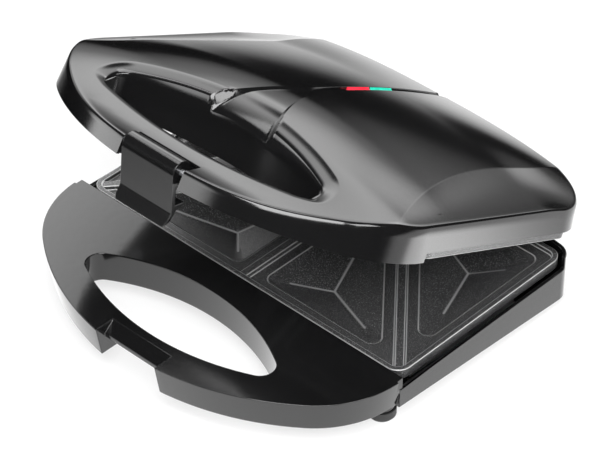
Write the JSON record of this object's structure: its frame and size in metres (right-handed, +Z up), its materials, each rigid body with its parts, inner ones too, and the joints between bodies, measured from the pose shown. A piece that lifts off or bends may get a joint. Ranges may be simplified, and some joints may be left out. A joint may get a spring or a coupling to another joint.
{
  "type": "sandwich toaster",
  "caption": "Sandwich toaster with a domed lid on a rear hinge, triangular-pocket plates, grip holes in both handles and a swinging front latch.",
  "frame": {"origin": "middle of the whole part's box at rest, on the table under the feet", "axes": "+Z up, -Y towards the handles and the user, +Y towards the hinge, +X to the user's right"},
  "size_m": [0.231, 0.238, 0.143],
  "materials": {
    "housing_black": "gloss black moulding",
    "nonstick": "dark grainy non-stick coating on cast aluminium",
    "heater_sheath": "heat-tinted tube",
    "reflector": "rolled sheet",
    "zinc": "zinc plated steel",
    "rubber_black": "matte rubber",
    "ceramic": "ivory heat-proof body",
    "fuse_gold": "brassy fuse body",
    "lead_red": "silicone insulation",
    "lens_red": "red clear lens",
    "lens_green": "teal green clear lens",
    "neon": "glass neon lamp",
    "latch_black": "gloss black moulding"
  },
  "bodies": {
    "base": {"lower_housing": "housing_black", "lower_plate": "nonstick", "lower_heater": "heater_sheath", "lower_heat_shield": "reflector", "lower_plate_screws": "zinc", "front_feet": "rubber_black", "rear_feet": "rubber_black", "hinge_pins": "zinc", "cord_grommet": "rubber_black", "thermostat": "ceramic", "thermal_fuse": "fuse_gold", "terminal_block": "ceramic", "lower_heater_terminals": "zinc", "power_leads": "lead_red"},
    "lid": {"upper_housing": "housing_black", "upper_plate": "nonstick", "upper_heater": "heater_sheath", "upper_heat_shield": "reflector", "upper_plate_screws": "zinc", "red_lens": "lens_red", "green_lens": "lens_green", "lamp_holder": "ceramic", "neon_lamps": "neon", "upper_heater_terminals": "zinc", "latch_pin": "zinc"},
    "latch_body": {"latch": "latch_black"}
  },
  "joints": [
    {"name": "lid_hinge", "type": "hinge", "parent": "base", "child": "lid", "pos_m": [0, 0.11205, 0.031], "axis": [-1, 0, 0], "range_deg": [-25.3, 80]},
    {"name": "latch_pivot", "type": "hinge", "parent": "lid", "child": "latch_body", "pos_m": [0, -0.09315, 0.13696], "axis": [-1, 0, 0], "range_deg": [0, 90]}
  ]
}
